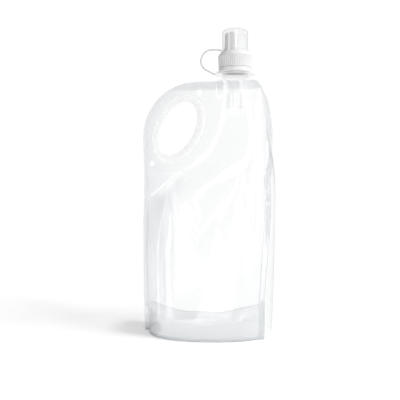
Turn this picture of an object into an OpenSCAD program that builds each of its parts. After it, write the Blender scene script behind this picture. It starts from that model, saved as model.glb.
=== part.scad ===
// Folding water bottle: a stand-up film pouch with a welded screw spout, a push-pull cap under a
// tethered clear cover, and a two-part grip ring clamped round a hole in the film.
// Millimetres. +Z up, +X to the right seen from the front, the front faces -Y, the base stands at z = 0.

/* [Pouch] */
// Width of the pouch when it lies flat
flat_w = 132; // [126:1:142]
// Height of the film's top edge above the base
film_h = 248.6; // [248.4:0.1:248.7]
// Half the width of the filled base
base_half_w = 61.5; // [57:0.5:63]
// Half the depth of the filled base
base_half_d = 34; // [28:0.5:38]
// How far the base is twisted against the top weld, in degrees
base_twist = 13; // [0:1:16]
// Thickness of the film
film_t = 0.3; // [0.25:0.05:0.4]
// Radius of the rounded top left corner
corner_r = 54; // [50:1:58]

/* [Grip ring] */
// Centre of the ring, across
ring_x = -29; // [-32:0.5:-28.5]
// Centre of the ring, above the base
ring_z = 202.5; // [200:0.5:203]
// Half the ring's length outside
ring_long = 37; // [35:0.5:38]
// Half the ring's width outside
ring_short = 25; // [23:0.5:26]
// Width of the ring's band
ring_band = 8.5; // [7.5:0.5:9]
// Lean of the ring's long axis from upright, in degrees
ring_lean = 29; // [20:1:32]
// Thickness of the ring, both halves together
ring_t = 4.4; // [4:0.1:5]

/* [Punched holes] */
// Radius of both holes
punch_r = 2.5; // [2:0.1:3]
// Height of the upper hole above the base
punch_upper_z = 238.4; // [237.5:0.1:239]
// Height of the lower hole above the base
punch_lower_z = 167.3; // [166:0.1:168]

/* [Spout and closure] */
// Distance of the spout's axis from the middle of the pouch
spout_x = 29; // [27:0.5:30]
// Outside radius of the neck
neck_r = 12.5; // [12.4:0.05:12.55]
// Radius of the neck's bore
neck_bore_r = 10.85; // [10:0.05:10.9]
// Pitch of the screw thread
thread_pitch = 3; // [2.9:0.05:3.1]
// Outside radius of the screw cap
cap_r = 16.4; // [16.3:0.1:16.8]
// Number of grip flutes round the cap
flutes = 48; // [24:4:52]
// Outside radius of the clear cover
cover_r = 12.9; // [12.8:0.05:13]
// Height of the top of the clear cover above the base
top_z = 297.5; // [297.5:0.1:299]
// Outside radius of the tether collar
collar_r = 19.45; // [18:0.05:21]

/* [Hidden] */
$fn = 96;
film_colour = [0.86, 0.89, 0.92, 0.45];
clear_colour = [0.9, 0.92, 0.94, 0.35];
white_colour = [0.96, 0.96, 0.96];
natural_colour = [0.9, 0.91, 0.92, 0.7];
tether_colour = [0.78, 0.8, 0.82];

// ---- pouch: sections across the height ----
half_w = flat_w / 2;
section_power = 2 / 2.4;     // roundness of a section: 1 is an ellipse, less is squarer
film_gap = 0.2;              // from the middle plane to each film where the two are welded
shoulder_z = 190;            // the sides are upright at this height, and round off above it
shoulder_x = 46.5;           // right end of the top edge
twist_z = 158;               // the twist of the base has run out at this height
corner_x = corner_r - half_w;
corner_z = film_h - corner_r;
belly_h = 252;               // the depth of the sections runs out at this height
web_w = 72;                  // full width of the welded web round the grip ring
web_z = 162;                 // the web is half as wide at this height
web_run = 13;                // and widens over a few times this much
seam_foot_w = 0.4;           // width of the flat weld at the left seam, clear of the gusset
seam_w = 2;                  // its width from seam_top up
seam_foot = 34;
seam_top = 64;
film_rows = 34;
web_cols = 6;                // columns of points on the flat web
film_cols = 36;
film_foot = 0.4;             // the side films stop this much above the base

function clamp01(t) = min(1, max(0, t));
function power(c, p) = sign(c) * pow(abs(c), p);
function low_share(z) = clamp01(1 - z / shoulder_z);
function left_x(z) = z > corner_z
    ? corner_x - sqrt(max(0, corner_r * corner_r - pow(z - corner_z, 2)))
    : 1.5 * low_share(z) - half_w + (half_w - base_half_w) * pow(low_share(z), 1.5);
function right_x(z) = z > shoulder_z
    ? shoulder_x + (half_w - shoulder_x) * sqrt(1 - pow((z - shoulder_z) / (film_h - shoulder_z + 0.5), 2))
    : 1.5 * low_share(z) + half_w - (half_w - base_half_w) * pow(low_share(z), 1.5);
function belly(z) = base_half_d * pow(1 - pow(z / belly_h, 2.4), 0.9);
function twist(z) = let (s = clamp01(1 - z / twist_z)) base_twist * s * s * (3 - 2 * s);
function seam_share(z) = clamp01((z - seam_foot) / (seam_top - seam_foot));
function web_edge(z) = max(-half_w + web_w / (1 + exp((web_z - z) / web_run)),
    left_x(z) + seam_foot_w + (seam_w - seam_foot_w) * seam_share(z));

// the boat is the lens-shaped foot of the spout that the film is welded to
boat_half_l = 17.5;
boat_half_t = 5.5;
boat_z = 235.9;
boat_h = 12.8;
boat_curve_r = (boat_half_l * boat_half_l + boat_half_t * boat_half_t) / (2 * boat_half_t);
barrel_r = 7.5;
barrel_z = 222;
weld_clear = 1.3;            // the film's inner face stays this far off the boat and the barrel
function boat_depth(x) = max(0, sqrt(max(0, pow(boat_curve_r, 2) - pow(x - spout_x, 2)))
    - boat_curve_r + boat_half_t);
function barrel_depth(x, z) = z < barrel_z - 6 || z > boat_z + 3 ? 0
    : sqrt(max(0, pow(barrel_r + weld_clear, 2) - pow(x - spout_x, 2)));
function spout_depth(x, z) = max(z > boat_z - 5 && boat_depth(x) > 0 ? boat_depth(x) + weld_clear : 0,
    barrel_depth(x, z));

// half the depth of the pouch at an angle of its section; the bulge starts at the angle from
function body_depth(angle, from, x, z) =
    max(belly(z) * pow(max(0, sin(180 * (angle - from) / (180 - from))), section_power),
        angle < 180 ? spout_depth(x, z) : 0);

// one point of a film: side is -1 for the front and 1 for the back, out is 0 inside and film_t outside
function film_point(j, z, side, out) =
    let (left = left_x(z), mid = (left + right_x(z)) / 2, half = (right_x(z) - left) / 2,
         edge = web_edge(z),
         start = acos(power((mid - edge) / half, 1 / section_power)),
         angle = start + (180 - start) * max(0, (j - web_cols) / (film_cols - 1 - web_cols)),
         share = j < web_cols ? (mid - left - (edge - left) * j / web_cols) / half
                              : power(cos(angle), section_power),
         x = mid - (half - film_t + out) * share,
         depth = j <= web_cols ? 0 : body_depth(angle, start * seam_share(z), x, z),
         y = side * (depth + film_gap + out),
         a = twist(z))
    [x * cos(a) - y * sin(a), x * sin(a) + y * cos(a), z];
function row_z(i) = film_foot + (film_h - film_foot) * (1 - pow(1 - i / (film_rows - 1), 1.6));
function film_grid(side, out) =
    [for (i = [0 : film_rows - 1], j = [0 : film_cols - 1]) film_point(j, row_z(i), side, out)];

// closed solid between two grids of points with the same rows and columns
function quad(a, b, c, d, flip) = flip ? [[a, c, b], [a, d, c]] : [[a, b, c], [a, c, d]];
module shell(outer, inner, rows, cols, flip) {
    n = rows * cols;
    skin = [for (i = [0 : rows - 2], j = [0 : cols - 2])
        let (p = i * cols + j)
        each concat(quad(p, p + 1, p + 1 + cols, p + cols, flip),
                    quad(p + n, p + n + cols, p + n + cols + 1, p + n + 1, flip))];
    ends = [for (j = [0 : cols - 2]) let (top = (rows - 1) * cols + j)
        each concat(quad(j, j + n, j + n + 1, j + 1, flip),
                    quad(top, top + 1, top + 1 + n, top + n, flip))];
    sides = [for (i = [0 : rows - 2]) let (left = i * cols, right = left + cols - 1)
        each concat(quad(left, left + cols, left + cols + n, left + n, flip),
                    quad(right, right + n, right + n + cols, right + cols, flip))];
    polyhedron(points = concat(outer, inner), faces = concat(skin, ends, sides));
}

// ---- base gusset ----
crest_mid = 17;              // height of the gusset's fold in the middle
crest_end = 12;              // how much higher the fold is at its ends
gusset_end = 3;              // the gusset's ends stop this angle short of the side seams
gusset_rows = 25;
gusset_cols = 17;
rim_t = 0.8;                 // thickness of the welded rim the bottle stands on
rim_h = 2.5;
rim_in = 1.3;                // the rim stays this far inside the side films' outer face
rim_half_w = base_half_w - rim_in;
rim_half_d = base_half_d - rim_in;
rim_mid = (left_x(0) + right_x(0)) / 2;
rim_sides = 72;
function rim_outline(inset) = [for (i = [0 : rim_sides - 1]) let (a = 360 * i / rim_sides)
    [rim_mid + (rim_half_w - inset) * power(cos(a), section_power),
     (rim_half_d - inset) * power(sin(a), section_power)]];
function gusset_point(i, j, lift) =
    let (angle = gusset_end + (180 - 2 * gusset_end) * i / (gusset_rows - 1),
         s = -1 + 2 * j / (gusset_cols - 1),
         share = power(cos(angle), section_power),
         x = rim_mid - (rim_half_w - rim_t / 2) * share,
         y = (rim_half_d - rim_t / 2) * pow(sin(angle), section_power) * s,
         crest = crest_mid + crest_end * share * share)
    [x, y, rim_h / 2 + crest * (1 - pow(abs(s), 2.2)) + lift];
function gusset_grid(lift) =
    [for (i = [0 : gusset_rows - 1], j = [0 : gusset_cols - 1]) gusset_point(i, j, lift)];

// ---- grip ring and punched holes ----
ring_clear = 0.1;
ring_gap = film_gap + film_t + ring_clear;   // each half starts this far from the middle plane
ring_half_t = ring_t / 2 - ring_gap;
ring_lip = 0.8;                              // the outer face is this much smaller all round
sleeve_t = 1;
sleeve_fit = 0.15;
sleeve_short = 0.3;                          // the sleeve ends this much below the back half's face
film_hole_clear = 0.6;                       // from the sleeve to the film round it
punch_upper_x = -6.8;
punch_lower_x = -56.6;

// ---- spout ----
boat_ribs = 4;
boat_rib_low = 1.2;
boat_rib_pitch = 3;
boat_rib_t = 1;
boat_rib_out = 0.3;
platform_z = boat_z + boat_h;
platform_t = 1.4;
platform_out = 1;
barrel_wall = 1.4;
funnel_h = 2;                // half the height of the cone between the barrel's bore and the neck's
neck_top = 272.1;
bead_z = 258.9;
bead_t = 1.4;
bead_out = 1.1;

// ---- screw thread ----
thread_sunk = 0.3;           // the ridges start this far inside their walls
thread_crest = 1.05;
thread_root_half = 0.75;
thread_crest_half = 0.35;
thread_low = 262.9;
thread_steps = 40;
thread_fade = 5;             // steps over which a ridge fades out
thread_end = 0.3;            // share of a ridge's height that is left at its ends
neck_turns = 2.25;
cap_turns = 1.5;

// ---- tamper band and tether collar ----
band_z = 256.5;
band_top = 260.3;
band_out = 0.55;             // the band is this much smaller than the cap
band_wall_r = neck_r + 1.5;
band_lip_r = neck_r + 0.4;
band_lip_sunk = 0.1;         // the lip starts this far inside the band's wall
band_lip_low = 0.6;
band_lip_high = 1.9;
collar_z = 253.9;
collar_t = 2.2;
collar_fit = 0.25;

// ---- screw cap ----
skirt_z = 260.6;
skirt_out = 0.5;             // the skirt is this much smaller at its foot
skirt_wall_r = neck_r + 1.5;
cap_top = 275.8;
cap_roof = 273.3;
shoulder_low = 271.5;
shoulder_low_r = 0.8;        // rounding at the skirt's top
shoulder_r = 14;
shoulder_top_r = 0.6;        // rounding at the cap's top
chamfer_turn = 50;           // where the two roundings meet, in degrees
spigot_r = 12;
spigot_t = 0.7;
spigot_h = 1.3;
chimney_r = 7.2;
chimney_bore_r = 5.2;
chimney_top = 288.1;
chimney_lip = 0.55;
chimney_lip_z = chimney_top - 2;
chimney_lip_top = chimney_top - 1;
post_r = 2.25;
post_short = 0.8;            // the post ends this much below the nozzle's top
port_r = 1;
port_ring_r = 3.9;
ports = 3;
flute_r = 0.65;
flute_out = 0.35;            // the flutes' axes lie this far outside the cap
flute_foot = 1.2;
flute_short = 0.4;           // the flutes end this much below the skirt's rounding
flute_lean = atan(0.8 * skirt_out / (shoulder_low - skirt_z));
seal_t_clear = 0.05;
seal_in = 1.5;

// ---- nozzle ----
nozzle_low = 276.1;
nozzle_top = 293.6;
nozzle_r = 10;
nozzle_bore_r = 7.9;
nozzle_foot_r = 11;
nozzle_foot_t = 3.2;
nozzle_ring_r = 7.35;        // the ring inside that catches under the chimney's lip
nozzle_ring_low = 5.2;
nozzle_ring_high = 7;
nozzle_edge_r = 0.9;
nozzle_roof_t = 2.4;
mouth_r = 2.45;
mouth_flare = 0.8;           // the mouth is this much wider at the top
mouth_edge = 0.5;            // over this height
mouth_depth = 2;
nozzle_foot_edge_r = 0.6;    // rounding of the foot's edge
nozzle_draft = 0.2;          // the nozzle is this much smaller at its top

// ---- dust cover ----
cover_low = 276;
cover_t = 0.7;
cover_foot_out = 0.3;
cover_foot_t = 1.8;
cover_foot_r = 0.5;
cover_top_r = 3.3;
cover_draft = 0.1;           // the cover is this much smaller at its top

// helical ridge on a wall of radius r_root, with its crest at r_tip, from height low
module thread(r_root, r_tip, low, turns) {
    n = round(thread_steps * turns);
    function fade(i) = clamp01(min(i, n - i) / thread_fade);
    function ridge(i) =
        let (a = 360 * i / thread_steps, z = low + thread_pitch * i / thread_steps,
             tip = r_root + (r_tip - r_root) * (thread_end + (1 - thread_end) * fade(i)))
        [for (p = [[r_root, -thread_root_half], [tip, -thread_crest_half],
                   [tip, thread_crest_half], [r_root, thread_root_half]])
            [p[0] * cos(a), p[0] * sin(a), z + p[1]]];
    flip = r_tip < r_root;
    polyhedron(
        points = [for (i = [0 : n]) each ridge(i)],
        faces = concat(
            [for (i = [0 : n - 1], k = [0 : 3])
                each quad(4 * i + k, 4 * i + (k + 1) % 4, 4 * i + 4 + (k + 1) % 4, 4 * i + 4 + k, flip)],
            quad(0, 1, 2, 3, !flip), quad(4 * n, 4 * n + 1, 4 * n + 2, 4 * n + 3, flip)));
}

// points of a rounded corner in a profile, from angle a to angle b
corner_steps = 5;
function corner(x, z, r, a, b) =
    [for (i = [0 : corner_steps]) let (t = a + (b - a) * i / corner_steps) [x + r * cos(t), z + r * sin(t)]];

// ---- tether strap ----
strap_r = 0.7;
strap_sides = 8;
// where the strap runs, measured from the spout's axis and from the collar's underside
strap_route = [[-13.45, 24.3], [-16.5, 25], [-21.3, 25.4], [-26.9, 25.1], [-31.7, 21.8], [-34.35, 15.6],
               [-33.1, 10.4], [-29.8, 6.6], [-24.6, 3.6], [-19.8, 1.2]];
strap_n = len(strap_route) - 1;
function curve(p0, p1, p2, p3, t) =
    (2 * p1 + (p2 - p0) * t + (2 * p0 - 5 * p1 + 4 * p2 - p3) * t * t
     + (3 * p1 - p0 - 3 * p2 + p3) * t * t * t) / 2;
strap_line = [for (i = [0 : strap_n - 1], s = [0 : 3])
                  curve(strap_route[max(0, i - 1)], strap_route[i], strap_route[i + 1],
                        strap_route[min(strap_n, i + 2)], s / 4),
              strap_route[strap_n]];

module spin() { translate([spout_x, 0, 0]) rotate_extrude() children(); }
module tube(r_out, r_in, low, high) {
    translate([spout_x, 0, low]) difference() {
        cylinder(r = r_out, h = high - low);
        translate([0, 0, -1]) cylinder(r = r_in, h = high - low + 2);
    }
}

module lens(grow) {
    intersection_for (side = [-1, 1])
        translate([spout_x, side * (boat_curve_r - boat_half_t)]) circle(r = boat_curve_r + grow);
}

module film_cuts() {
    reach = 6;
    translate([ring_x, reach / 2, ring_z]) rotate([90, 0, 0]) linear_extrude(reach) rotate(-ring_lean)
        ellipse_disc(ring_short - ring_band + sleeve_t + film_hole_clear,
                     ring_long - ring_band + sleeve_t + film_hole_clear);
    for (at = [[punch_upper_x, punch_upper_z], [punch_lower_x, punch_lower_z]])
        translate([at[0], reach / 2, at[1]]) rotate([90, 0, 0]) cylinder(r = punch_r, h = reach);
}

module ellipse_disc(across, along) { scale([across, along]) circle(r = 1); }

module ring_plate(low, high, outer_in, inner_in) {
    translate([ring_x, -low, ring_z]) rotate([90, 0, 0]) linear_extrude(high - low) rotate(-ring_lean)
        difference() {
            ellipse_disc(ring_short - outer_in, ring_long - outer_in);
            ellipse_disc(ring_short - ring_band + inner_in, ring_long - ring_band + inner_in);
        }
}

module front_panel() {
    color(film_colour) difference() {
        shell(film_grid(-1, film_t), film_grid(-1, 0), film_rows, film_cols, false);
        film_cuts();
    }
}

module back_panel() {
    color(film_colour) difference() {
        shell(film_grid(1, film_t), film_grid(1, 0), film_rows, film_cols, true);
        film_cuts();
    }
}

module bottom_gusset() {
    color(film_colour) rotate(base_twist) {
        linear_extrude(rim_h) difference() {
            polygon(rim_outline(0));
            polygon(rim_outline(rim_t));
        }
        shell(gusset_grid(film_t), gusset_grid(0), gusset_rows, gusset_cols, false);
    }
}

module handle_ring_front() {
    color(white_colour) {
        ring_plate(ring_gap, ring_gap + ring_half_t / 2, 0, 0);
        ring_plate(ring_gap + ring_half_t / 2, ring_t / 2, ring_lip, ring_lip);
        ring_plate(-ring_t / 2 + sleeve_short, ring_gap + ring_half_t / 4, ring_band - sleeve_t, 0);
    }
}

module handle_ring_back() {
    color(white_colour) mirror([0, 1, 0]) {
        ring_plate(ring_gap, ring_gap + ring_half_t / 2, 0, sleeve_t + sleeve_fit);
        ring_plate(ring_gap + ring_half_t / 2, ring_t / 2, ring_lip, sleeve_t + sleeve_fit);
    }
}

module spout() {
    barrel_bore_r = barrel_r - barrel_wall;
    color(natural_colour) difference() {
        union() {
            translate([0, 0, boat_z]) linear_extrude(boat_h) lens(0);
            for (k = [0 : boat_ribs - 1]) translate([0, 0, boat_z + boat_rib_low + boat_rib_pitch * k])
                linear_extrude(boat_rib_t) lens(boat_rib_out);
            translate([0, 0, platform_z]) linear_extrude(platform_t) lens(platform_out);
            translate([spout_x, 0, barrel_z]) cylinder(r = barrel_r, h = boat_z - barrel_z + 1);
            translate([spout_x, 0, platform_z]) cylinder(r = neck_r, h = neck_top - platform_z);
            translate([spout_x, 0, bead_z]) cylinder(r1 = neck_r + bead_out, r2 = neck_r, h = bead_t);
            translate([spout_x, 0, 0])
                thread(neck_r - thread_sunk, neck_r + thread_crest, thread_low, neck_turns);
        }
        translate([spout_x, 0, barrel_z - 1]) cylinder(r = barrel_bore_r, h = platform_z - barrel_z);
        translate([spout_x, 0, platform_z - funnel_h])
            cylinder(r1 = barrel_bore_r, r2 = neck_bore_r, h = 2 * funnel_h);
        translate([spout_x, 0, platform_z + funnel_h]) cylinder(r = neck_bore_r, h = neck_top - platform_z);
    }
}

module tamper_band() {
    color(white_colour) {
        tube(cap_r - band_out, band_wall_r, band_z, band_top);
        tube(band_wall_r + band_lip_sunk, band_lip_r, band_z + band_lip_low, band_z + band_lip_high);
    }
}

module tether_collar() {
    color(tether_colour) tube(collar_r, neck_r + collar_fit, collar_z, collar_z + collar_t);
}

module tether_strand() {
    n = len(strap_line);
    function ring(i) =
        let (d = strap_line[min(n - 1, i + 1)] - strap_line[max(0, i - 1)], u = d / norm(d))
        [for (k = [0 : strap_sides - 1])
            let (a = 360 * k / strap_sides, c = strap_r * cos(a))
            [spout_x + strap_line[i][0] - u[1] * c, strap_r * sin(a),
             collar_z + strap_line[i][1] + u[0] * c]];
    color(tether_colour) polyhedron(
        points = [for (i = [0 : n - 1]) each ring(i)],
        faces = concat(
            [for (i = [0 : n - 2], k = [0 : strap_sides - 1])
                let (a = i * strap_sides, b = (k + 1) % strap_sides)
                each quad(a + k, a + b, a + strap_sides + b, a + strap_sides + k, false)],
            [[for (k = [strap_sides - 1 : -1 : 0]) k]],
            [[for (k = [0 : strap_sides - 1]) (n - 1) * strap_sides + k]]));
}

module cap_seal() {
    color(white_colour)
        tube(neck_r + 1, neck_bore_r - seal_in, neck_top + seal_t_clear, cap_roof - seal_t_clear);
}

module rotate_about(a) { translate([spout_x, 0, 0]) rotate(a) children(); }

module screw_cap() {
    color(white_colour) difference() {
        union() {
            spin() polygon(concat(
                [[skirt_wall_r, skirt_z], [cap_r - skirt_out, skirt_z]],
                corner(cap_r - shoulder_low_r, shoulder_low, shoulder_low_r, 0, chamfer_turn),
                corner(shoulder_r - shoulder_top_r, cap_top - shoulder_top_r, shoulder_top_r,
                       chamfer_turn, 90),
                [[spigot_r, cap_top], [spigot_r, cap_top + spigot_h],
                 [spigot_r - spigot_t, cap_top + spigot_h],
                 [spigot_r - spigot_t, cap_top], [chimney_r, cap_top], [chimney_r, chimney_lip_z],
                 [chimney_r + chimney_lip, chimney_lip_z], [chimney_r + chimney_lip, chimney_lip_top],
                 [chimney_r, chimney_top], [0, chimney_top], [0, cap_roof], [skirt_wall_r, cap_roof]]));
            translate([spout_x, 0, 0]) rotate(180)
                thread(skirt_wall_r + thread_sunk / 2, neck_r + thread_sunk, thread_low, cap_turns);
            translate([spout_x, 0, chimney_top - 1])
                cylinder(r = post_r, h = nozzle_top - post_short - chimney_top + 1);
        }
        translate([spout_x, 0, cap_roof - 1]) cylinder(r = chimney_bore_r, h = chimney_top - cap_roof - 1);
        for (i = [0 : ports - 1]) rotate_about(360 / ports * i)
            translate([port_ring_r, 0, chimney_top - 3]) cylinder(r = port_r, h = 4);
        for (i = [0 : flutes - 1]) rotate_about(360 / flutes * i)
            translate([cap_r - skirt_out + flute_out, 0, skirt_z + flute_foot]) rotate([0, flute_lean, 0])
                cylinder(r = flute_r, h = shoulder_low - skirt_z - flute_foot - flute_short);
    }
}

module nozzle() {
    color(white_colour) spin() polygon(concat(
        [[nozzle_bore_r, nozzle_low], [nozzle_foot_r, nozzle_low]],
        corner(nozzle_foot_r - nozzle_foot_edge_r, nozzle_low + nozzle_foot_t - nozzle_foot_edge_r,
               nozzle_foot_edge_r, 0, 90),
        [[nozzle_r + nozzle_draft / 2, nozzle_low + nozzle_foot_t + nozzle_draft]],
        corner(nozzle_r - nozzle_draft - nozzle_edge_r, nozzle_top - nozzle_edge_r, nozzle_edge_r, 0, 90),
        [[mouth_r + mouth_flare, nozzle_top], [mouth_r, nozzle_top - mouth_edge],
         [mouth_r, nozzle_top - mouth_depth],
         [nozzle_bore_r + 1.5 * nozzle_draft, nozzle_top - nozzle_roof_t],
         [nozzle_bore_r, nozzle_low + nozzle_ring_high],
         [nozzle_ring_r, nozzle_low + nozzle_ring_high - nozzle_draft],
         [nozzle_ring_r, nozzle_low + nozzle_ring_low + 2 * nozzle_draft],
         [nozzle_bore_r, nozzle_low + nozzle_ring_low]]));
}

module dust_cover() {
    wall_r = cover_r - cover_t;
    crown_r = cover_r - cover_draft - cover_top_r;
    color(clear_colour) spin() polygon(concat(
        [[wall_r, cover_low], [cover_r + cover_foot_out, cover_low]],
        corner(cover_r + cover_foot_out - cover_foot_r, cover_low + cover_foot_t - cover_foot_r,
               cover_foot_r, 0, 90),
        corner(crown_r, top_z - cover_top_r, cover_top_r, 0, 90),
        [[0, top_z], [0, top_z - cover_t]],
        corner(crown_r, top_z - cover_top_r, cover_top_r - cover_t, 90, 0)));
}

front_panel();
back_panel();
bottom_gusset();
handle_ring_front();
handle_ring_back();
spout();
tamper_band();
tether_collar();
tether_strand();
cap_seal();
screw_cap();
nozzle();
dust_cover();
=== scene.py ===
import math

import bpy
import bmesh
import numpy as np
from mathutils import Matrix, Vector


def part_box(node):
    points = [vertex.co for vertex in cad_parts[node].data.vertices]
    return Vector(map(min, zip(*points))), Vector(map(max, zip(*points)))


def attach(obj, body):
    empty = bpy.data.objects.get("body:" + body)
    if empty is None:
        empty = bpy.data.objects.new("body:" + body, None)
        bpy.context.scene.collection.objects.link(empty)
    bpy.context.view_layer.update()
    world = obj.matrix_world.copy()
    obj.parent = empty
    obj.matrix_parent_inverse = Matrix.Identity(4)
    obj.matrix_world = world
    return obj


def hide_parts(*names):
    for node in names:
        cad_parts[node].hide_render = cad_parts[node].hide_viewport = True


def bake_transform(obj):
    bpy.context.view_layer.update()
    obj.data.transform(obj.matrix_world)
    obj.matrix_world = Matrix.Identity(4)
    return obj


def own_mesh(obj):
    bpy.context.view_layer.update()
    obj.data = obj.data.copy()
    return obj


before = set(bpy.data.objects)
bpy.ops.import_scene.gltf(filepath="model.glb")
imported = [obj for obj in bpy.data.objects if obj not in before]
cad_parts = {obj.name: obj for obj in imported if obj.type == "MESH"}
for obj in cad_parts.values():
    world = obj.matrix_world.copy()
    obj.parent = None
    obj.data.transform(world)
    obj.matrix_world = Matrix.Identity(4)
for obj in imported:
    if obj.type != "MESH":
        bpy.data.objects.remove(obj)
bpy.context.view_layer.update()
MM = 0.001

# ---------------------------------------------------------------- sizes, in millimetres
# boxes come from the frame; the other sizes are typed here, most of them as in the part's source


def node_box(name):
    low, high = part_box(name)
    return np.array(low) / MM, np.array(high) / MM


FILM_LOW, FILM_HIGH = node_box("front_panel")
COVER_LOW, COVER_HIGH = node_box("dust_cover")
RING_LOW, RING_HIGH = node_box("handle_ring_front")
HALF_W = FILM_HIGH[0]
FILM_H = FILM_HIGH[2]
SPOUT_X = (COVER_LOW[0] + COVER_HIGH[0]) / 2
RING_X = (RING_LOW[0] + RING_HIGH[0]) / 2
RING_Z = (RING_LOW[2] + RING_HIGH[2]) / 2
RING_LONG, RING_SHORT, RING_BAND = 37.0, 25.0, 8.5
RING_LEAN = math.radians(29)
RING_FACE = 2.2
BASE_HALF_W, BASE_HALF_D = 61.5, 34.0
BASE_TWIST = math.radians(13)
SHOULDER_Z, SHOULDER_X = 190.0, 46.5
TWIST_Z = 158.0
CORNER_R = 54.0
CORNER_X, CORNER_Z = CORNER_R - HALF_W, FILM_H - CORNER_R
BELLY_H = 252.0
WEB_W, WEB_Z, WEB_RUN = 72.0, 162.0, 13.0
SECTION_POWER = 2 / 2.4
BOAT_HALF_L, BOAT_HALF_T, BOAT_Z = 17.5, 5.5, 235.9
BARREL_R, BARREL_Z = 7.5, 222.0
FILM_T = 0.25
FILM_GAP = 0.16
FIN_W = 4.5
LEFT_FULL, RIGHT_FULL = 1.2, 3.0   # how far the filled film stands out past the plain solid at each side
CREST_MID, CREST_RISE = 17, 12     # height of the gusset's fold in the middle, and how much more at its ends
# the fins' haze is their welded seam; below the gusset's crest the front film's haze is partly its welded
# seal and partly painted shade of the floor under the base; along the front film's bottom edge a strong haze
# paints a contact shadow
FIN_HAZE, GUSSET_WELD_AND_SHADE, FOOT_SHADE = 0.8, 1.1, 6.0
PUNCHES = ((-6.8, 238.4), (-56.6, 167.3))
PUNCH_R = 2.5


def ease(a, b, t):
    s = min(1.0, max(0.0, (t - a) / (b - a)))
    return s * s * (3 - 2 * s)


def power(c, p):
    return math.copysign(abs(c) ** p, c)


# ---------------------------------------------------------------- camera, stage and light

CAMERA_DISTANCE = 490.0
CAMERA_AZIMUTH = 14.0
CAMERA_HEIGHT = 172.83
CAMERA_SIDE = -5.98
CAMERA_SENSOR, CAMERA_LENS = 36, 44.28
CAMERA_DIP = 2.06
CAMERA_SHIFT = -0.06   # of the picture's width
VIEW_TURN = math.radians(CAMERA_AZIMUTH)
WORLD_LEFT, WORLD_RIGHT = 0.29, 0.61
BACKDROP = 1.03
FLOOR_BOUNCE, FLOOR_GLOW = 0.92, 0.19
CARD_GLOW = 3.5
SHADE_X, SHADE_W, SHADE_D, SHADE_H = -49.0, 5.0, 20.0, 38.0
FLOOR_WHITE = 0.97
FLOOR_REACH = 6.0   # metres
CARD_TAPER, CARD_LIFT = 0.3, 0.5
SOFTBOX_AIM = (0, 0, 0.13)


def make_camera():
    cam = bpy.data.cameras.new("photo_camera")
    cam.sensor_width = CAMERA_SENSOR
    cam.lens = CAMERA_LENS
    cam.shift_y = CAMERA_SHIFT
    ob = bpy.data.objects.new("photo_camera", cam)
    bpy.context.scene.collection.objects.link(ob)
    a = math.radians(CAMERA_AZIMUTH)
    right = Vector((math.cos(a), math.sin(a), 0))
    back = Vector((math.sin(a), -math.cos(a), 0))
    ob.location = (right * CAMERA_SIDE + back * CAMERA_DISTANCE) * MM + Vector((0, 0, CAMERA_HEIGHT * MM))
    ob.rotation_euler = (math.radians(90 - CAMERA_DIP), 0, a)
    cam.clip_start, cam.clip_end = 0.02, 20
    bpy.context.scene.camera = ob


make_camera()


def nodes_of(id_block):
    id_block.use_nodes = True
    tree = id_block.node_tree
    tree.nodes.clear()
    return tree


def make_world():
    """White behind the bottle as the camera sees it; soft grey light, dimmer on the left, on the object."""
    world = bpy.data.worlds.new("studio")
    bpy.context.scene.world = world
    tree = nodes_of(world)
    new, link = tree.nodes.new, tree.links.new
    out = new("ShaderNodeOutputWorld")
    mix = new("ShaderNodeMixShader")
    path = new("ShaderNodeLightPath")
    seen, light = new("ShaderNodeBackground"), new("ShaderNodeBackground")
    seen.inputs["Color"].default_value = (1.0, 1.0, 1.0, 1)
    seen.inputs["Strength"].default_value = BACKDROP
    light.inputs["Color"].default_value = (1.0, 1.0, 1.0, 1)
    coords, toward, level = new("ShaderNodeTexCoord"), new("ShaderNodeVectorMath"), new("ShaderNodeMapRange")
    toward.operation = "DOT_PRODUCT"
    toward.inputs[1].default_value = (math.cos(VIEW_TURN), math.sin(VIEW_TURN), 0)
    for key, number in (("From Min", -1), ("From Max", 1), ("To Min", WORLD_LEFT), ("To Max", WORLD_RIGHT)):
        level.inputs[key].default_value = number
    link(coords.outputs["Generated"], toward.inputs[0])
    link(toward.outputs["Value"], level.inputs["Value"])
    link(level.outputs["Result"], light.inputs["Strength"])
    link(path.outputs["Is Camera Ray"], mix.inputs["Fac"])
    link(light.outputs[0], mix.inputs[1])
    link(seen.outputs[0], mix.inputs[2])
    link(mix.outputs[0], out.inputs["Surface"])


def stage_object(name, verts, faces, material):
    mesh = bpy.data.meshes.new(name)
    mesh.from_pydata(verts, [], faces)
    mesh.materials.append(material)
    ob = bpy.data.objects.new(name, mesh)
    bpy.context.scene.collection.objects.link(ob)
    return ob


def make_floor():
    """A white sweep, lifted to pure white for the camera by a glow; what it throws back up is softer."""
    mat = bpy.data.materials.new("studio_floor")
    tree = nodes_of(mat)
    new, link = tree.nodes.new, tree.links.new
    out, path, mix = new("ShaderNodeOutputMaterial"), new("ShaderNodeLightPath"), new("ShaderNodeMixShader")
    soft, bright = new("ShaderNodeBsdfDiffuse"), new("ShaderNodeBsdfDiffuse")
    both = new("ShaderNodeAddShader")
    glow = new("ShaderNodeEmission")
    soft.inputs["Color"].default_value = (*[FLOOR_BOUNCE] * 3, 1)
    bright.inputs["Color"].default_value = (*[FLOOR_WHITE] * 3, 1)
    glow.inputs["Strength"].default_value = FLOOR_GLOW
    link(bright.outputs[0], both.inputs[0])
    link(glow.outputs[0], both.inputs[1])
    link(path.outputs["Is Camera Ray"], mix.inputs["Fac"])
    link(soft.outputs[0], mix.inputs[1])
    link(both.outputs[0], mix.inputs[2])
    link(mix.outputs[0], out.inputs["Surface"])
    r = FLOOR_REACH
    stage_object("studio_floor", [(-r, -r, 0), (r, -r, 0), (r, r, 0), (-r, r, 0)], [(0, 1, 2, 3)], mat)


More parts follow.
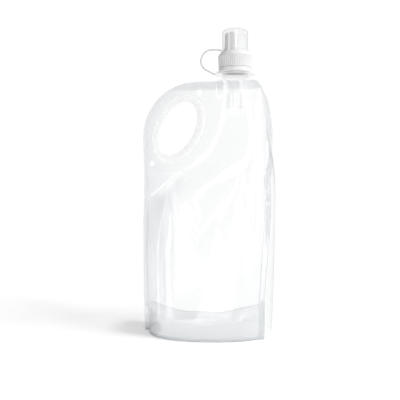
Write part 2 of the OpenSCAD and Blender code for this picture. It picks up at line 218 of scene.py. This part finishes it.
def make_shade():
    """A card standing inside the left end, unseen, that deepens the shadow a nearly clear bottle throws."""
    steps = 48
    mat = bpy.data.materials.new("shade_card")
    nodes_of(mat)
    low, high = 1.0 * MM, SHADE_H * MM
    ring = []
    for k in range(steps):
        t = 2 * math.pi * k / steps
        x, y = SHADE_X + SHADE_W * math.cos(t), SHADE_D * math.sin(t)
        c, n = math.cos(BASE_TWIST), math.sin(BASE_TWIST)
        ring.append(((x * c - y * n) * MM, (x * n + y * c) * MM))
    verts = [(x, y, low) for x, y in ring] + [(x, y, high) for x, y in ring]
    faces = [(k, (k + 1) % steps, steps + (k + 1) % steps, steps + k) for k in range(steps)]
    faces += [tuple(range(steps))[::-1], tuple(range(steps, 2 * steps))]
    ob = stage_object("shade_card", verts, faces, mat)
    for ray in ("camera", "diffuse", "glossy", "transmission", "volume_scatter"):
        setattr(ob, "visible_" + ray, False)


def make_card(name, azimuth, width, near, far):
    """A glowing strip on the floor, seen only in reflections: it carries a softbox's streak to the base."""
    mat = bpy.data.materials.new(name)
    tree = nodes_of(mat)
    glow, out = tree.nodes.new("ShaderNodeEmission"), tree.nodes.new("ShaderNodeOutputMaterial")
    glow.inputs["Color"].default_value = (1.0, 1.0, 1.0, 1)
    glow.inputs["Strength"].default_value = CARD_GLOW
    tree.links.new(glow.outputs[0], out.inputs["Surface"])
    a = math.radians(azimuth)
    along, across = Vector((math.cos(a), math.sin(a), 0)), Vector((-math.sin(a), math.cos(a), 0))
    lift = Vector((0, 0, CARD_LIFT * MM))
    verts = [along * near - across * width * CARD_TAPER + lift, along * far - across * width + lift,
             along * far + across * width + lift, along * near + across * width * CARD_TAPER + lift]
    ob = stage_object(name, verts, [(0, 1, 2, 3)], mat)
    for ray in ("camera", "diffuse", "shadow", "transmission", "volume_scatter"):
        setattr(ob, "visible_" + ray, False)


def add_light(name, kind, at, look, energy, size=None, angle=None, gloss_only=False):
    data = bpy.data.lights.new(name, kind)
    data.energy = energy
    if kind == "AREA":
        data.shape = "RECTANGLE"
        data.size, data.size_y = size
    else:
        data.angle = math.radians(angle)
    ob = bpy.data.objects.new(name, data)
    bpy.context.scene.collection.objects.link(ob)
    ob.location = at
    ob.rotation_euler = (Vector(look) - Vector(at)).to_track_quat("-Z", "Y").to_euler()
    if gloss_only:
        ob.visible_diffuse = False
        ob.visible_transmission = False


make_world()
make_floor()
make_shade()
add_light("key_sun", "SUN", (1.0, -0.05, 0.95), (0, 0, 0), 1.5, angle=19)
add_light("fill_sun", "SUN", (0.62, -0.75, 0.45), (0, 0, 0), 0.65, angle=60)
add_light("right_softbox", "AREA", (0.29, -0.85, 0.32), SOFTBOX_AIM, 1.5, size=(0.20, 0.62), gloss_only=True)
add_light("left_softbox", "AREA", (-0.66, -0.66, 0.27), SOFTBOX_AIM, 1.6, size=(0.25, 0.50), gloss_only=True)
make_card("right_card", -71, 0.12, 0.10, 0.9)
make_card("left_card", -132, 0.12, 0.10, 0.9)
scene = bpy.context.scene
scene.view_settings.view_transform = "Standard"
scene.view_settings.look = "None"
scene.cycles.transparent_max_bounces = 40
scene.cycles.max_bounces = 16

# ---------------------------------------------------------------- materials


class Shader:
    """A short way to write a material's nodes."""

    def __init__(self, name):
        self.material = bpy.data.materials.new(name)
        self.tree = nodes_of(self.material)

    def node(self, kind, **values):
        made = self.tree.nodes.new(kind)
        for key, value in values.items():
            if hasattr(made, key):
                setattr(made, key, value)
            else:
                made.inputs[key.replace("_", " ")].default_value = value
        return made

    def link(self, a, b):
        self.tree.links.new(a, b)

    def math(self, operation, a, b=None):
        made = self.node("ShaderNodeMath", operation=operation)
        for socket, value in zip(made.inputs, (a, b)):
            if value is None:
                continue
            if isinstance(value, (int, float)):
                socket.default_value = value
            else:
                self.link(value, socket)
        return made.outputs[0]

    def noise(self, scale, detail=3.0, stretch=(1, 1, 1)):
        coords = self.node("ShaderNodeTexCoord")
        mapping = self.node("ShaderNodeMapping")
        mapping.inputs["Scale"].default_value = stretch
        made = self.node("ShaderNodeTexNoise")
        made.inputs["Scale"].default_value = scale
        made.inputs["Detail"].default_value = detail
        self.link(coords.outputs["Object"], mapping.inputs["Vector"])
        self.link(mapping.outputs[0], made.inputs["Vector"])
        return made.outputs["Fac"]

    def ramp(self, value, low, high, out_low, out_high):
        made = self.node("ShaderNodeMapRange")
        self.link(value, made.inputs["Value"])
        for key, number in zip(("From Min", "From Max", "To Min", "To Max"), (low, high, out_low, out_high)):
            made.inputs[key].default_value = number
        return made.outputs["Result"]

    def bump(self, height, strength, distance):
        made = self.node("ShaderNodeBump")
        made.inputs["Strength"].default_value = strength
        made.inputs["Distance"].default_value = distance
        self.link(height, made.inputs["Height"])
        return made.outputs["Normal"]

    def colours(self, value, *stops):
        made = self.node("ShaderNodeValToRGB")
        while len(made.color_ramp.elements) < len(stops):
            made.color_ramp.elements.new(0.5)
        for element, (at, colour) in zip(made.color_ramp.elements, stops):
            element.position = at
            element.color = (*colour, 1)
        self.link(value, made.inputs["Fac"])
        return made.outputs["Color"]

    def done(self, surface):
        out = self.node("ShaderNodeOutputMaterial")
        self.link(surface, out.inputs["Surface"])
        return self.material


def clear_sheet(name, tint, haze, edge_haze, gloss, edge_gloss, rough, solid):
    """Thin clear plastic: light passes through, with a little haze, more at a glancing view and where a
    per-point attribute asks: welded seams, and painted shade at the base and the left side.
    """
    s = Shader(name)
    weld = s.node("ShaderNodeAttribute", attribute_name="weld").outputs["Fac"]
    facing = s.node("ShaderNodeLayerWeight", Blend=0.5).outputs["Facing"]
    cloud = s.ramp(s.noise(18, 4), 0.35, 0.65, 0.7, 1.3)
    glance = s.math("POWER", facing, 3.0)
    amount = s.math("ADD", s.math("MULTIPLY", cloud, haze), s.math("MULTIPLY", glance, edge_haze))
    # the per-point attribute adds haze at welded seams and painted shade at the base and the left side
    amount = s.math("MINIMUM", s.math("ADD", amount, s.math("MULTIPLY", weld, 0.12)), 0.9)
    ripple = s.math("ADD", s.noise(120, 3), s.math("MULTIPLY", s.noise(22, 2), 2.0))
    normal = s.bump(ripple, 0.25, 0.0008)
    clear = s.node("ShaderNodeBsdfTransparent")
    clear.inputs["Color"].default_value = (*tint, 1)
    body = s.node("ShaderNodeBsdfPrincipled")
    body.inputs["Base Color"].default_value = (*solid, 1)
    body.inputs["Roughness"].default_value = 0.35
    s.link(normal, body.inputs["Normal"])
    veil = s.node("ShaderNodeMixShader")
    s.link(amount, veil.inputs["Fac"])
    s.link(clear.outputs[0], veil.inputs[1])
    s.link(body.outputs[0], veil.inputs[2])
    mirror = s.node("ShaderNodeBsdfGlossy")
    mirror.inputs["Color"].default_value = (1, 1, 1, 1)
    mirror.inputs["Roughness"].default_value = rough
    s.link(normal, mirror.inputs["Normal"])
    fresnel = s.math("ADD", s.math("MULTIPLY", s.math("POWER", facing, 4.0), edge_gloss), gloss)
    top = s.node("ShaderNodeMixShader")
    s.link(s.math("MINIMUM", fresnel, 0.9), top.inputs["Fac"])
    s.link(veil.outputs[0], top.inputs[1])
    s.link(mirror.outputs[0], top.inputs[2])
    return s.done(top.outputs[0])


def moulded(name, colour, dark, roughness, bump_scale=260.0, bump=0.12, glow=0.0):
    """Injection-moulded plastic: faint mottling, fine texture, uneven gloss."""
    s = Shader(name)
    mottle = s.noise(45, 5)
    fine = s.noise(bump_scale, 3)
    body = s.node("ShaderNodeBsdfPrincipled")
    s.link(s.colours(mottle, (0.3, dark), (0.7, colour)), body.inputs["Base Color"])
    s.link(s.ramp(s.noise(90, 4), 0.3, 0.7, roughness * 0.85, roughness * 1.2), body.inputs["Roughness"])
    s.link(s.bump(fine, bump, 0.0002), body.inputs["Normal"])
    body.inputs["IOR"].default_value = 1.5
    body.inputs["Subsurface Weight"].default_value = glow
    body.inputs["Subsurface Radius"].default_value = (1, 1, 1)
    body.inputs["Subsurface Scale"].default_value = 0.002
    return s.done(body.outputs[0])


def milky(name, colour, share, edge_share, roughness, lit=0.0):
    """Natural, undyed plastic, partly see-through; lit is a glow that stands for light spread inside it."""
    s = Shader(name)
    body = s.node("ShaderNodeBsdfPrincipled")
    dark = [c * 0.97 for c in colour]
    s.link(s.colours(s.noise(60, 4), (0.3, dark), (0.7, colour)), body.inputs["Base Color"])
    s.link(s.ramp(s.noise(90, 4), 0.3, 0.7, roughness * 0.85, roughness * 1.2), body.inputs["Roughness"])
    s.link(s.bump(s.noise(240, 3), 0.10, 0.0002), body.inputs["Normal"])
    body.inputs["Emission Color"].default_value = (1.0, 1.0, 1.0, 1)
    body.inputs["Emission Strength"].default_value = lit
    clear = s.node("ShaderNodeBsdfTransparent")
    clear.inputs["Color"].default_value = (0.998, 0.998, 0.998, 1)
    facing = s.node("ShaderNodeLayerWeight", Blend=0.5).outputs["Facing"]
    mix = s.node("ShaderNodeMixShader")
    amount = s.math("ADD", s.math("MULTIPLY", s.math("POWER", facing, 2.0), edge_share), share)
    s.link(s.math("MINIMUM", amount, 0.95), mix.inputs["Fac"])
    s.link(clear.outputs[0], mix.inputs[1])
    s.link(body.outputs[0], mix.inputs[2])
    return s.done(mix.outputs[0])


FILM = clear_sheet("clear_film", (0.9945, 0.996, 0.997), 0.004, 0.06, 0.022, 0.42, 0.06, (0.74, 0.77, 0.80))
CLEAR = clear_sheet("clear_cover", (0.994, 0.995, 0.996), 0.02, 0.16, 0.03, 0.25, 0.06, (0.84, 0.85, 0.86))
WHITE = moulded("white_plastic", (0.89, 0.89, 0.89), (0.86, 0.86, 0.86), 0.38)
NOZZLE = moulded("nozzle_plastic", (0.93, 0.93, 0.93), (0.90, 0.90, 0.90), 0.38)
RING = milky("ring_plastic", (0.95, 0.95, 0.95), 0.40, 0.25, 0.35, lit=0.22)
NATURAL = milky("natural_plastic", (0.92, 0.925, 0.93), 0.04, 0.14, 0.35)
TETHER = moulded("tether_plastic", (0.84, 0.845, 0.85), (0.80, 0.805, 0.81), 0.3)
COLLAR = milky("tether_collar_plastic", (0.95, 0.95, 0.955), 0.30, 0.20, 0.3, lit=0.12)
RUBBER = moulded("seal_rubber", (0.86, 0.86, 0.85), (0.82, 0.82, 0.81), 0.7)

# ---------------------------------------------------------------- the pouch's shape


def low_share(z):
    return min(1.0, max(0.0, 1 - z / SHOULDER_Z))


def left_x(z):
    if z > CORNER_Z:
        return CORNER_X - math.sqrt(max(0.0, CORNER_R ** 2 - (z - CORNER_Z) ** 2))
    return 1.5 * low_share(z) - HALF_W + (HALF_W - BASE_HALF_W) * low_share(z) ** 1.5


def right_x(z):
    if z > SHOULDER_Z:
        t = (z - SHOULDER_Z) / (FILM_H - SHOULDER_Z + 0.5)
        return SHOULDER_X + (HALF_W - SHOULDER_X) * math.sqrt(1 - t * t)
    return 1.5 * low_share(z) + HALF_W - (HALF_W - BASE_HALF_W) * low_share(z) ** 1.5


def belly(z):
    return BASE_HALF_D * (1 - (z / BELLY_H) ** 2.4) ** 0.9


def twist(z):
    return BASE_TWIST * ease(TWIST_Z, 0, z)


def web_edge(z):
    return -HALF_W + WEB_W / (1 + math.exp((WEB_Z - z) / WEB_RUN))


def boat_depth(x):
    r = (BOAT_HALF_L ** 2 + BOAT_HALF_T ** 2) / (2 * BOAT_HALF_T)
    return max(0.0, math.sqrt(max(0.0, r * r - (x - SPOUT_X) ** 2)) - r + BOAT_HALF_T)


def spout_depth(x, z):
    """How far the film has to stand off the middle plane to clear the boat and the barrel under it."""
    boat = (boat_depth(x) + 0.5) * ease(BOAT_Z - 6, BOAT_Z - 1, z) if boat_depth(x) > 0 else 0.0
    room = max(0.0, (BARREL_R + 0.9) ** 2 - (x - SPOUT_X) ** 2)
    barrel = math.sqrt(room) * ease(BARREL_Z - 14, BARREL_Z - 1, z) * (1 - ease(BOAT_Z, BOAT_Z + 3, z))
    return max(boat, barrel)


def right_seam_turn(z):
    """How far the right seam has wandered round the section to the front, in degrees."""
    return 32 * ease(200, 150, z) + 14 * ease(140, 20, z)


def web_blend(x, z):
    """The body swells gently out of the flat web, where the web is wide."""
    away = max(0.0, x - web_edge(z))
    return 1 - ease(80, 150, z) * math.exp(-(away / 23) ** 2)


def crease_height(x, z, creases):
    total = 0.0
    for x0, z0, x1, z1, width, height in creases:
        dx, dz = x1 - x0, z1 - z0
        t = ((x - x0) * dx + (z - z0) * dz) / (dx * dx + dz * dz)
        if -0.15 < t < 1.15:
            away = abs((x - x0) * dz - (z - z0) * dx) / math.hypot(dx, dz)
            if away < 4 * width:
                fade = ease(-0.15, 0.25, t) * ease(1.15, 0.75, t)
                total += height * fade * math.exp(-away / width)
    return total


FRONT_CREASES = (
    (-34, 152, -2, 97, 3.0, 3.2),
    (-39, 141, -12, 83, 3.0, 2.0),
    (28, 136, -2, 95, 4.0, 1.5),
    (-37.5, 138, -41.5, 10, 2.2, 2.6),
    (-16, 88, -19, 26, 3.5, 1.2),
    (-2, 97, 0, 60, 5.0, 1.0),
    (12, 242, 14, 224, 1.6, 1.0),
    (54, 240, 60, 212, 1.6, 1.4),
    (27, 18, 43, 36, 2.5, 1.6),
    (40, 190, 46, 120, 4.0, 0.9),
)
BACK_CREASES = (
    (-42, 146, -14, 110, 4.0, 2.6),
    (26, 150, 4, 108, 4.5, 2.0),
    (4, 110, 2, 60, 5.0, 1.4),
    (46, 128, 44, 24, 3.5, 2.0),
    (18, 240, 8, 206, 2.5, 1.2),
    (58, 200, 60, 120, 3.0, 1.8),
    (52, 112, 60, 60, 3.0, 2.0),
)


def film_point(u, z, side, creases):
    """A point of a film's middle surface; u runs 0 to 1 over the body, and past both ends over the fins."""
    turn = math.radians(right_seam_turn(z)) * side * -1
    share = min(1.0, max(0.0, u))
    angle = share * (math.pi - turn)
    low = left_x(z) + FIN_W - LEFT_FULL * ease(150, 100, z)
    high = right_x(z) - FIN_W * (1 - ease(0, 24, right_seam_turn(z))) + RIGHT_FULL * ease(180, 140, z)
    mid, half = (low + high) / 2, (high - low) / 2
    x = mid - half * power(math.cos(angle), SECTION_POWER)
    edge = max(-1.0, min(1.0, (mid - web_edge(z)) / half))
    start = math.acos(power(edge, 1 / SECTION_POWER)) * ease(34, 64, z)
    turned = 0.0 if angle <= start else math.pi * (angle - start) / (math.pi - start)
    swell = belly(z) * (1 - ease(228, 241, z))
    depth = swell * power(math.sin(turned), SECTION_POWER) * web_blend(x, z)
    if 0 < share < 1:
        depth = max(depth, spout_depth(x, z)) if angle < math.pi else depth
        depth -= crease_height(x, z, creases) * min(1.0, max(0.0, depth / 6))
    y = side * (depth + FILM_GAP)
    if u < 0:
        x += u * FIN_W
    if u > 1:
        x += (u - 1) * FIN_W * (1 + 0.3 * ease(190, 150, z))
    a = twist(z)
    return x * math.cos(a) - y * math.sin(a), x * math.sin(a) + y * math.cos(a), z


def weld_share(x, z, u, side):
    """How much a spot of film is hazed: at the welded side fins, the welded top edge and over the flat web;
    as painted shade, at the front film's bottom edge and below the gusset's crest (there partly its welded
    seal), and in a strip fading in from the left edge lower down.
    """
    fin = 1.0 if u < 0 or u > 1 else 0.0
    # lower down, haze fading in from the left edge over about 22 mm paints the shade of the flattened side
    # turned from the light; higher up a sharp strip by the left edge is hazed over the web
    from_edge = x - left_x(z)
    wide = math.exp(-from_edge / 22)
    band = wide + (ease(27, 24.5, from_edge) - wide) * ease(142, 126, z)
    band *= 0.85 - 0.35 * ease(90, 20, z)
    # below the gusset's crest the front film is hazed: partly its welded seal, partly painted shade of the
    # floor under the base, on the front film only
    over_crest = z - CREST_MID - CREST_RISE * (x / BASE_HALF_W) ** 2
    gusset_weld = GUSSET_WELD_AND_SHADE * ease(1, -1, over_crest) if side < 0 else 0.0
    # painted contact shadow: the front film's bottom edge is hazed dark
    foot_shade = FOOT_SHADE * ease(2.8, 1.8, z) if side < 0 else 0.0
    return max(fin * FIN_HAZE, ease(239, 242, z), band, gusset_weld, foot_shade)


def new_object(name, verts, faces, material, body, replaced, smooth=True):
    mesh = bpy.data.meshes.new(name)
    mesh.from_pydata([tuple(c * MM for c in v) for v in verts], [], faces)
    mesh.update()
    ob = bpy.data.objects.new(name, mesh)
    bpy.context.scene.collection.objects.link(ob)
    mesh.materials.append(material)
    for face in mesh.polygons:
        face.use_smooth = smooth
    if body:
        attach(ob, body)
    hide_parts(replaced)
    return ob


def grid_faces(rows, cols, flip=False):
    faces = []
    for i in range(rows - 1):
        for j in range(cols - 1):
            a = i * cols + j
            quad = (a, a + 1, a + cols + 1, a + cols)
            faces.append(quad[::-1] if flip else quad)
    return faces


def apply_modifiers(ob):
    bpy.context.view_layer.update()
    depsgraph = bpy.context.evaluated_depsgraph_get()
    mesh = bpy.data.meshes.new_from_object(ob.evaluated_get(depsgraph))
    ob.modifiers.clear()
    ob.data = mesh


def film_cutter():
    """The holes in both films: the grip's oval and the two punched holes."""
    bm = bmesh.new()
    steps = 72
    across = RING_SHORT - RING_BAND + 1.6
    along = RING_LONG - RING_BAND + 1.6
    holes = [(RING_X, RING_Z, across, along, RING_LEAN)]
    holes += [(x, z, PUNCH_R, PUNCH_R, 0.0) for x, z in PUNCHES]
    for cx, cz, a, b, lean in holes:
        rings = []
        for y in (-4, 4):
            ring = []
            for k in range(steps):
                t = 2 * math.pi * k / steps
                px, pz = a * math.cos(t), b * math.sin(t)
                x = cx + px * math.cos(lean) + pz * math.sin(lean)
                z = cz - px * math.sin(lean) + pz * math.cos(lean)
                ring.append(bm.verts.new((x * MM, y * MM, z * MM)))
            rings.append(ring)
        for k in range(steps):
            n = (k + 1) % steps
            bm.faces.new((rings[0][k], rings[0][n], rings[1][n], rings[1][k]))
        bm.faces.new(rings[0][::-1])
        bm.faces.new(rings[1])
    bmesh.ops.recalc_face_normals(bm, faces=bm.faces)
    mesh = bpy.data.meshes.new("film_cutter")
    bm.to_mesh(mesh)
    ob = bpy.data.objects.new("film_cutter", mesh)
    bpy.context.scene.collection.objects.link(ob)
    return ob


def thicken(ob):
    thick = ob.modifiers.new("thickness", "SOLIDIFY")
    thick.thickness = FILM_T * MM
    thick.offset = 0


def make_film(name, side, body, creases, replaced):
    rows, cols, fin = 150, 110, 4
    us = [-1 + k / fin for k in range(fin)] + [k / (cols - 1) for k in range(cols)]
    us += [1 + (k + 1) / fin for k in range(fin)]
    zs = [0.3 + (FILM_H - 0.3) * (1 - (1 - i / (rows - 1)) ** 1.15) for i in range(rows)]
    verts = [film_point(u, z, side, creases) for z in zs for u in us]
    ob = new_object(name, verts, grid_faces(rows, len(us), side > 0), FILM, body, replaced)
    # per-point haze: welded seams, and painted shade at the base and along the left side
    weld = ob.data.attributes.new("weld", "FLOAT", "POINT")
    flat = [film_point(u, z, side, ()) for z in zs for u in us]
    spots = [(z, u) for z in zs for u in us]
    values = [weld_share(p[0] * math.cos(twist(z)) + p[1] * math.sin(twist(z)), z, u, side)
              for p, (z, u) in zip(flat, spots)]
    weld.data.foreach_set("value", values)
    thicken(ob)
    cut = ob.modifiers.new("holes", "BOOLEAN")
    cut.operation = "DIFFERENCE"
    cut.object = CUTTER
    cut.solver = "EXACT"
    apply_modifiers(ob)
    collapse(ob)
    return ob


def collapse(ob):
    """Gives the film a mesh of its own."""
    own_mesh(ob)


CUTTER = film_cutter()
make_film("front_film", -1, "front_wall", FRONT_CREASES, "front_panel")
make_film("back_film", 1, "back_wall", BACK_CREASES, "back_panel")
bpy.data.objects.remove(CUTTER)


def make_gusset():
    rows, cols = 70, 60
    mid, half_w, half_d = (left_x(0) + right_x(0)) / 2, BASE_HALF_W - 4.2, BASE_HALF_D - 0.5
    verts, welds = [], []
    for i in range(rows):
        angle = math.radians(2 + 176 * i / (rows - 1))
        share = power(math.cos(angle), SECTION_POWER)
        for j in range(cols):
            s = -1 + 2 * j / (cols - 1)
            x = mid - half_w * share
            y = half_d * math.sin(angle) ** SECTION_POWER * s
            crest = CREST_MID + CREST_RISE * share * share
            z = 0.6 + crest * (1 - abs(s) ** 1.6) + 0.5 * math.sin(9 * share + 4 * s) * (1 - s * s)
            c, n = math.cos(BASE_TWIST), math.sin(BASE_TWIST)
            verts.append((x * c - y * n, x * n + y * c, z))
            # painted shade: the gusset's front half, seen through the front film, is hazed
            welds.append(0.5 * ease(0.2, -0.3, s))
    faces = grid_faces(rows, cols)
    ob = new_object("base_gusset", verts, faces, FILM, "root", "bottom_gusset")
    ob.data.attributes.new("weld", "FLOAT", "POINT").data.foreach_set("value", welds)
    thicken(ob)
    apply_modifiers(ob)
    collapse(ob)


make_gusset()

# ---------------------------------------------------------------- grip ring


def rounded(points, steps=5):
    """A closed profile whose corners are rounded: each point is (a, b, radius)."""
    out = []
    n = len(points)
    for k in range(n):
        p = Vector(points[k][:2])
        before = (Vector(points[k - 1][:2]) - p)
        after = (Vector(points[(k + 1) % n][:2]) - p)
        r = points[k][2] if len(points[k]) > 2 else 0
        if r <= 0:
            out.append(tuple(p))
            continue
        d = min(r, before.length * 0.49, after.length * 0.49)
        a, b = p + before.normalized() * d, p + after.normalized() * d
        for i in range(steps + 1):
            t = i / steps
            q = a * (1 - t) ** 2 + p * 2 * t * (1 - t) + b * t ** 2
            out.append(tuple(q))
    return out


def sweep_oval(name, profile, side, replaced):
    """Sweeps a profile of (out from the band's middle, towards the face) round the leaning oval."""
    steps = 160
    n = len(profile)
    verts, faces = [], []
    for k in range(steps):
        t = 2 * math.pi * k / steps
        px, pz = RING_SHORT * math.cos(t), RING_LONG * math.sin(t)
        out = Vector((RING_LONG * math.cos(t), RING_SHORT * math.sin(t))).normalized()
        for s, h in profile:
            ox = px + out.x * (s - RING_BAND / 2)
            oz = pz + out.y * (s - RING_BAND / 2)
            x = RING_X + ox * math.cos(RING_LEAN) + oz * math.sin(RING_LEAN)
            z = RING_Z - ox * math.sin(RING_LEAN) + oz * math.cos(RING_LEAN)
            verts.append((x, side * h, z))
    for k in range(steps):
        for i in range(n):
            a, b = k * n + i, k * n + (i + 1) % n
            c, d = ((k + 1) % steps) * n + (i + 1) % n, ((k + 1) % steps) * n + i
            faces.append((a, b, c, d) if side < 0 else (d, c, b, a))
    new_object(name, verts, faces, RING, "root", replaced)


HALF_BAND = RING_BAND / 2
SLEEVE = 1.0
front_profile = rounded([
    (-HALF_BAND, -1.9, 0.2), (-HALF_BAND + SLEEVE, -1.9, 0.2), (-HALF_BAND + SLEEVE, 0.62, 0),
    (HALF_BAND, 0.62, 0.15), (HALF_BAND, 1.3, 0.5), (HALF_BAND - 1.3, RING_FACE, 0.9),
    (-HALF_BAND + 1.6, RING_FACE, 1.2), (-HALF_BAND, 1.0, 0.8)])
back_profile = rounded([
    (-HALF_BAND + SLEEVE + 0.15, 0.62, 0), (HALF_BAND, 0.62, 0.15), (HALF_BAND, 1.3, 0.5),
    (HALF_BAND - 1.3, RING_FACE, 0.9), (-HALF_BAND + 2.4, RING_FACE, 0.8),
    (-HALF_BAND + SLEEVE + 0.15, 1.6, 0.3)])
sweep_oval("grip_ring_front", front_profile, -1, "handle_ring_front")
sweep_oval("grip_ring_back", back_profile, 1, "handle_ring_back")

# ---------------------------------------------------------------- tether strap

STRAP_R = 0.7
COLLAR_Z = 253.9
# where the strap runs, measured from the spout's axis and from the collar's underside
STRAP_ROUTE = ((-13.45, 24.3), (-16.5, 25), (-21.3, 25.4), (-26.9, 25.1), (-31.7, 21.8), (-34.35, 15.6),
               (-33.1, 10.4), (-29.8, 6.6), (-24.6, 3.6), (-19.8, 1.2))
STRAP_SPLIT = 7


def strap_curve(steps):
    """Points of a smooth curve through the route, steps of them from each point to the next."""
    route = [Vector((SPOUT_X + x, 0, COLLAR_Z + z)) for x, z in STRAP_ROUTE]
    last = len(route) - 1
    points = []
    for i in range(last):
        p0, p1, p2, p3 = route[max(0, i - 1)], route[i], route[i + 1], route[min(last, i + 2)]
        for k in range(steps):
            t = k / steps
            points.append((2 * p1 + (p2 - p0) * t + (2 * p0 - 5 * p1 + 4 * p2 - p3) * t ** 2
                           + (3 * p1 - p0 - 3 * p2 + p3) * t ** 3) / 2)
    return points + [route[last]]


def strap_piece(name, points):
    sides = 16
    verts, faces = [], []
    for i, p in enumerate(points):
        along = (points[min(len(points) - 1, i + 1)] - points[max(0, i - 1)]).normalized()
        out = Vector((-along.z, 0, along.x))
        for k in range(sides):
            t = 2 * math.pi * k / sides
            verts.append(p + out * (STRAP_R * math.cos(t)) + Vector((0, STRAP_R * math.sin(t), 0)))
    for i in range(len(points) - 1):
        for k in range(sides):
            n = (k + 1) % sides
            faces.append((i * sides + k, i * sides + n, (i + 1) * sides + n, (i + 1) * sides + k))
    faces += [tuple(range(sides))[::-1], tuple(range(len(verts) - sides, len(verts)))]
    ob = new_object(name, verts, faces, TETHER, None, "tether_strand")
    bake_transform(ob)


STRAP_STEPS = 8
strap = strap_curve(STRAP_STEPS)
split = STRAP_SPLIT * STRAP_STEPS
strap_piece("tether_strap_low", strap[split:])
strap_piece("tether_strap_high", strap[:split + 1])

# ---------------------------------------------------------------- closure: CAD nodes with their materials

for node, material in (("spout", NATURAL), ("tamper_band", WHITE), ("tether_collar", COLLAR),
                       ("cap_seal", RUBBER), ("screw_cap", WHITE), ("nozzle", NOZZLE),
                       ("dust_cover", CLEAR)):
    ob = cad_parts[node]
    for slot in ob.material_slots:
        slot.material = material
